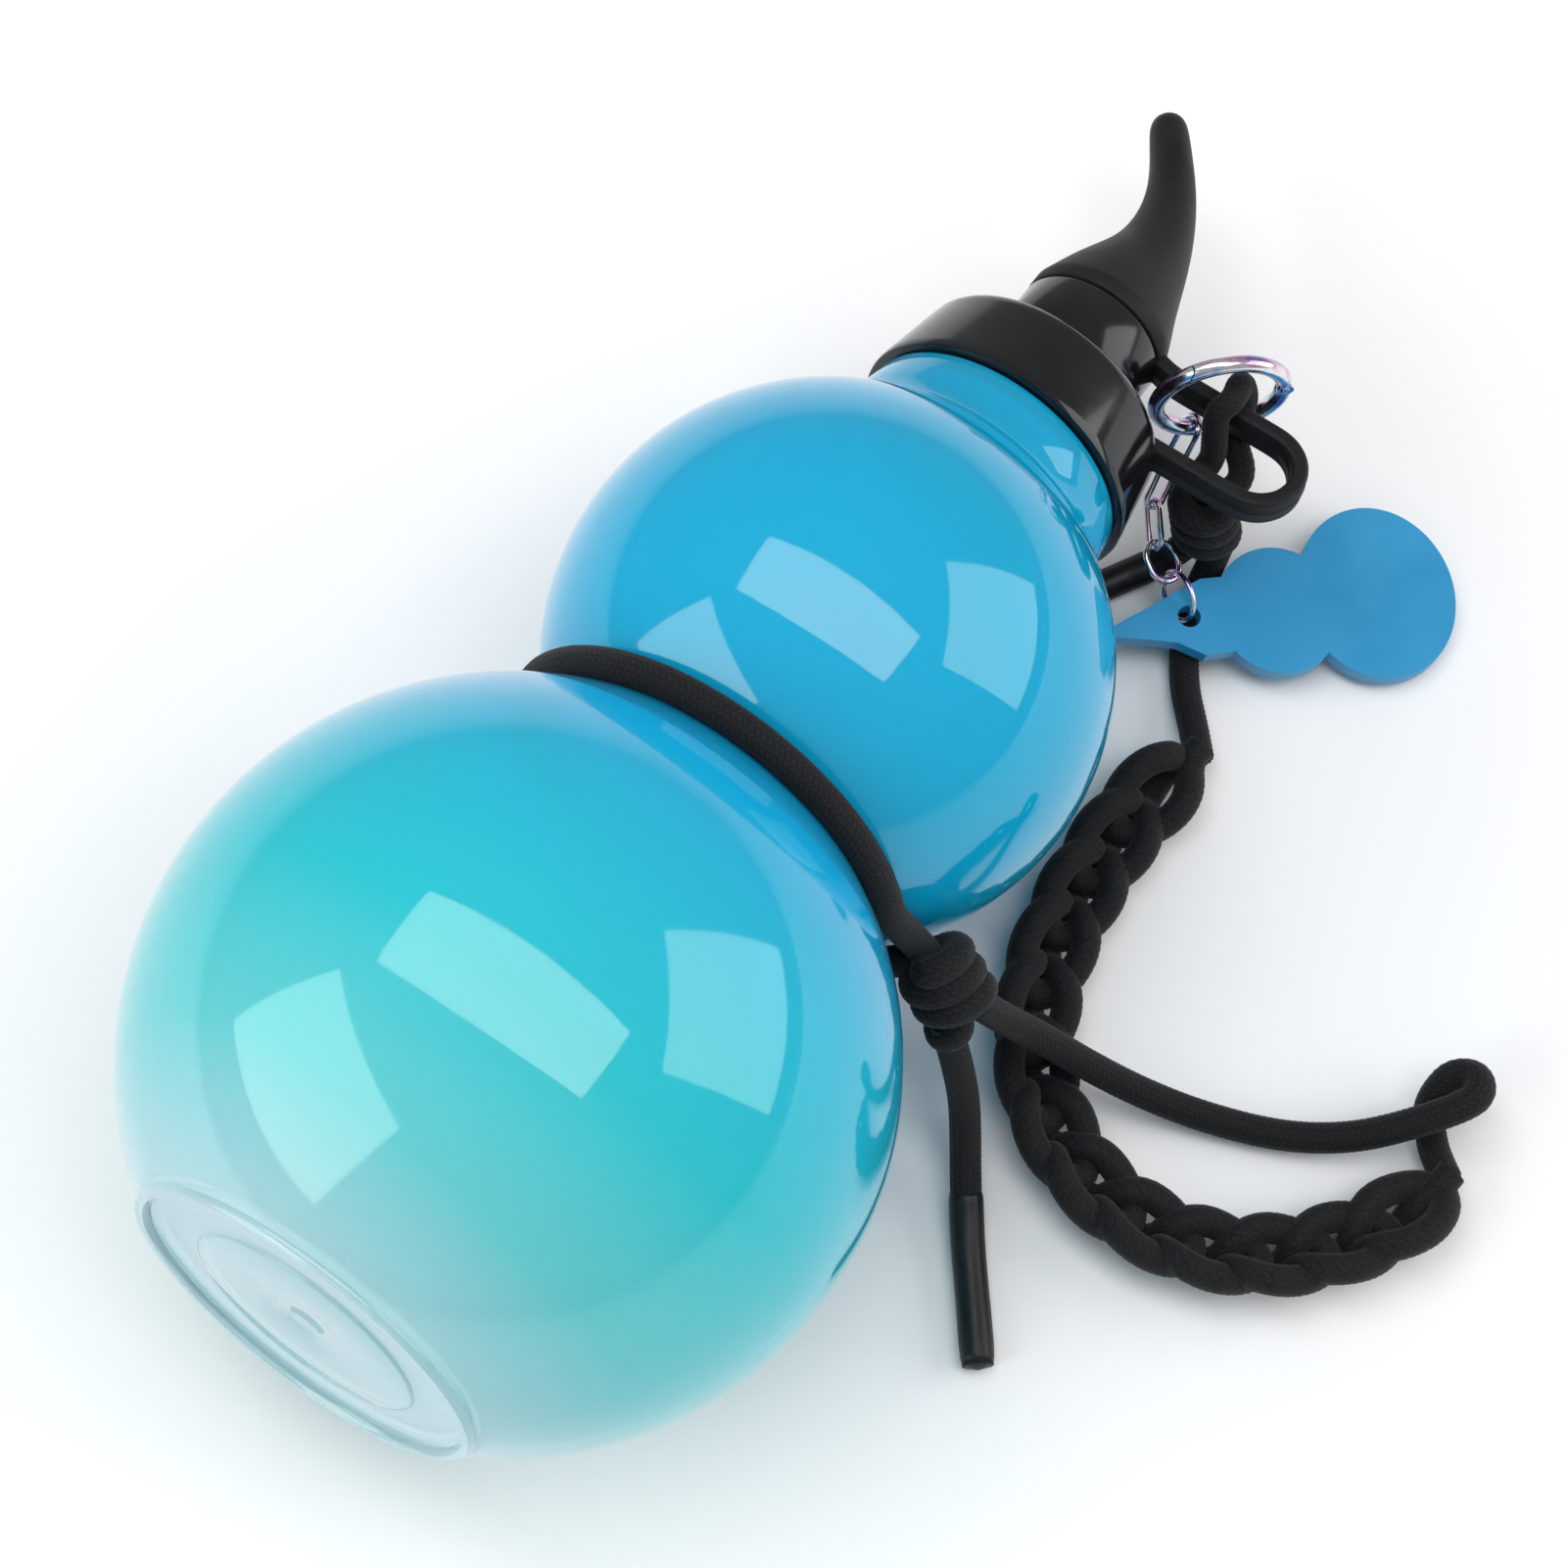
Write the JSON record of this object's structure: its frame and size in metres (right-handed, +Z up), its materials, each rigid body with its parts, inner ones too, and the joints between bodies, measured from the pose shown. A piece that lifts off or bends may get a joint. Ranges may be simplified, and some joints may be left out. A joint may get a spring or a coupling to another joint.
{
  "type": "gourd-shaped water bottle",
  "caption": "Gourd-shaped water bottle lying on its side, with a screw lid, stem stopper, carry loop, braided cord strap, snap ring and chained charm.",
  "frame": {"origin": "on the floor under the middle of the bottle, lid, ring and charm together, as it lies on its two bulbs", "axes": "+X towards the lid and stem, along the floor; +Z up; +Y to the side away from the strap"},
  "size_m": [0.24, 0.1691, 0.104],
  "materials": {
    "clear_shell": "transparent, tinted from sky blue to clear, pearly",
    "black_gloss": "gloss black",
    "seal": "pale grey, soft",
    "black_silicone": "matte black",
    "black_cord": "braided",
    "shrink_sleeve": "smooth, matte",
    "tinted_metal": "polished, heat-tinted",
    "pin_metal": "satin",
    "blue_charm": "gloss blue"
  },
  "bodies": {
    "bottle": {"big_bulb": "clear_shell", "small_bulb": "clear_shell", "waist_cord": "black_cord", "waist_knot": "black_cord", "waist_tail": "black_cord", "tail_sleeve": "shrink_sleeve", "strap_cord": "black_cord", "strap_bight": "black_cord", "strap_braid": "black_cord", "upper_cord": "black_cord", "top_tail": "black_cord", "top_sleeve": "shrink_sleeve"},
    "strap": {"carry_loop": "black_silicone", "loop_hitch": "black_cord", "top_knot": "black_cord"},
    "lid": {"lid_collar": "black_gloss", "lid_gasket": "seal"},
    "stopper": {"stem_stopper": "black_silicone"},
    "ring": {"snap_ring": "tinted_metal", "gate_rivet": "pin_metal"},
    "gate": {"snap_gate": "tinted_metal"},
    "chain_link_1": {"chain_link_1": "tinted_metal"},
    "chain_link_2": {"chain_link_2": "tinted_metal"},
    "chain_link_3": {"chain_link_3": "tinted_metal"},
    "chain_link_4": {"chain_link_4": "tinted_metal"},
    "charm_ring": {"charm_ring": "tinted_metal"},
    "charm": {"charm": "blue_charm"}
  },
  "joints": [
    {"name": "lid_lift", "type": "slide", "parent": "bottle", "child": "strap", "axis": [0.9895, 0, -0.1446], "range_m": [0, 0.008], "deforming": ["upper_cord", "top_tail"]},
    {"name": "lid_turn", "type": "hinge", "parent": "strap", "child": "lid", "pos_m": [0.05486, 0.0082, 0.03364], "axis": [0.9895, 0, -0.1446], "range_deg": [0, 720]},
    {"name": "stopper_pull", "type": "slide", "parent": "strap", "child": "stopper", "axis": [0.9895, 0, -0.1446], "range_m": [0, 0.01]},
    {"name": "ring_swing", "type": "hinge", "parent": "strap", "child": "ring", "pos_m": [0.07579, -0.0137, 0.0305], "axis": [0, 1, 0], "range_deg": [0, 10]},
    {"name": "gate_turn", "type": "hinge", "parent": "ring", "child": "gate", "pos_m": [0.08422, -0.02074, 0.03285], "axis": [-0.7331, -0.6801, 0], "range_deg": [0, 22], "stiffness_Nm_per_rad": 0.05, "springref_deg": -17.19, "deforming": ["loop_hitch"]},
    {"name": "chain_link_1_swing", "type": "hinge", "parent": "ring", "child": "chain_link_1", "pos_m": [0.07539, -0.01125, 0.0224], "axis": [0.0104, 0.9999, 0], "range_deg": [0, 5]},
    {"name": "chain_link_2_swing", "type": "hinge", "parent": "chain_link_1", "child": "chain_link_2", "pos_m": [0.07059, -0.0112, 0.0178], "axis": [-0.0767, 0.9971, 0], "range_deg": [0, 5]},
    {"name": "chain_link_3_swing", "type": "hinge", "parent": "chain_link_2", "child": "chain_link_3", "pos_m": [0.06539, -0.0116, 0.0136], "axis": [-0.6332, 0.774, 0], "range_deg": [0, 5]},
    {"name": "chain_link_4_swing", "type": "hinge", "parent": "chain_link_3", "child": "chain_link_4", "pos_m": [0.06099, -0.0152, 0.0106], "axis": [-0.8609, 0.5087, 0], "range_deg": [0, 5]},
    {"name": "charm_ring_swing", "type": "hinge", "parent": "chain_link_4", "child": "charm_ring", "pos_m": [0.05839, -0.0196, 0.0089], "axis": [-0.8298, 0.558, 0], "range_deg": [0, 5]},
    {"name": "charm_swing", "type": "hinge", "parent": "charm_ring", "child": "charm", "pos_m": [0.05449, -0.0254, 0.0072], "axis": [-0.745, -0.667, 0], "range_deg": [0, 4]}
  ],
  "couplings": [
    {"joint": "lid_turn", "follows": "lid_lift", "rad_per_m": 1570.8}
  ]
}
